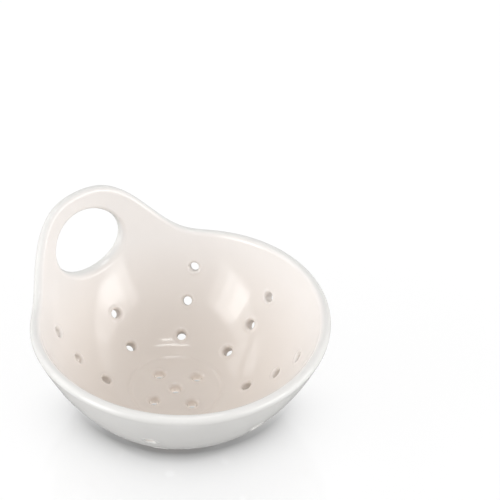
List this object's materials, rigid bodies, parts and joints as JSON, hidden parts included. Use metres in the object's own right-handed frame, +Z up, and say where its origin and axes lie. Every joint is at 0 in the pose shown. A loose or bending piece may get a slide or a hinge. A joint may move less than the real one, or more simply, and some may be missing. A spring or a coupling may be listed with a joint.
{
  "type": "berry colander bowl",
  "caption": "Glazed stoneware berry bowl with drain holes through wall and floor, a low foot ring, and an upright loop handle with an oval finger hole",
  "frame": {"origin": "On the ground at the middle of the foot ring, which is also the middle of the part's footprint", "axes": "+Z is up, +Y runs from the front of the rim to the handle, +X completes the right-handed frame"},
  "size_m": [0.153, 0.1722, 0.0923],
  "materials": {
    "stoneware": "matt fired clay under the glaze",
    "bare_stoneware": "matt unglazed clay",
    "warm_glaze": "glossy warm off-white glaze",
    "white_glaze": "glossy off-white glaze"
  },
  "bodies": {
    "root": {"bowl_shell": "stoneware", "loop_handle": "stoneware", "foot_ring": "bare_stoneware", "inner_glaze": "warm_glaze", "outer_glaze": "white_glaze"}
  },
  "joints": []
}
